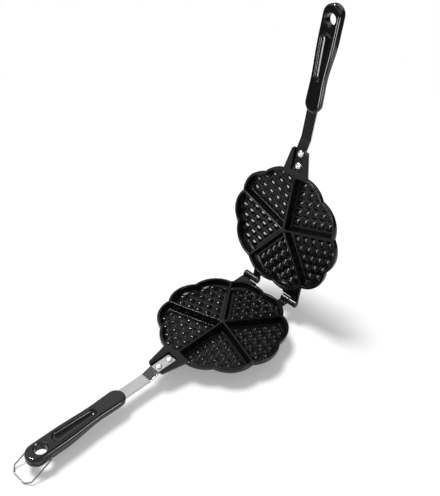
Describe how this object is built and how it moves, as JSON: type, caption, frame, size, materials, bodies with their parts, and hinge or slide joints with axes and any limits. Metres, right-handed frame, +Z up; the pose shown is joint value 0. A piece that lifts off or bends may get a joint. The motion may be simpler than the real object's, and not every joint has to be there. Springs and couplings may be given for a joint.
{
  "type": "stovetop waffle iron",
  "caption": "Hinged round waffle iron for a hob: scalloped cast plates with heart moulds and studs, riveted flat steel straps, long black grips and a wire latch bail.",
  "frame": {"origin": "centre of the lower plate's stand, on the table", "axes": "+Z up, +Y towards the hinge, so the handle runs to -Y and +X is the right side seen from the handle"},
  "size_m": [0.1964, 0.5448, 0.4734],
  "materials": {
    "coated_casting": "black non-stick coating, satin",
    "strap_steel": "polished",
    "rivet_steel": "polished",
    "pin_steel": "plain",
    "screw_steel": "plain",
    "grip_plastic": "gloss black",
    "bail_wire": "plated wire"
  },
  "bodies": {
    "lower_half": {"lower_plate": "coated_casting", "hinge_pin_left": "pin_steel", "hinge_pin_right": "pin_steel", "lower_strap": "strap_steel", "lower_rivet_inner": "rivet_steel", "lower_rivet_outer": "rivet_steel", "lower_grip": "grip_plastic", "lower_grip_screw": "screw_steel"},
    "upper_half": {"upper_plate": "coated_casting", "upper_strap": "strap_steel", "upper_rivet_inner": "rivet_steel", "upper_rivet_outer": "rivet_steel", "upper_grip": "grip_plastic", "upper_grip_screw": "screw_steel"},
    "bail": {"latch_bail": "bail_wire"}
  },
  "joints": [
    {"name": "lid_hinge", "type": "hinge", "parent": "lower_half", "child": "upper_half", "pos_m": [0, 0.106, 0.0325], "axis": [1, 0, 0], "range_deg": [0, 98.4]},
    {"name": "bail_pivot", "type": "hinge", "parent": "lower_half", "child": "bail", "pos_m": [0, -0.316, 0.02045], "axis": [-1, 0, 0], "range_deg": [0, 150]}
  ]
}
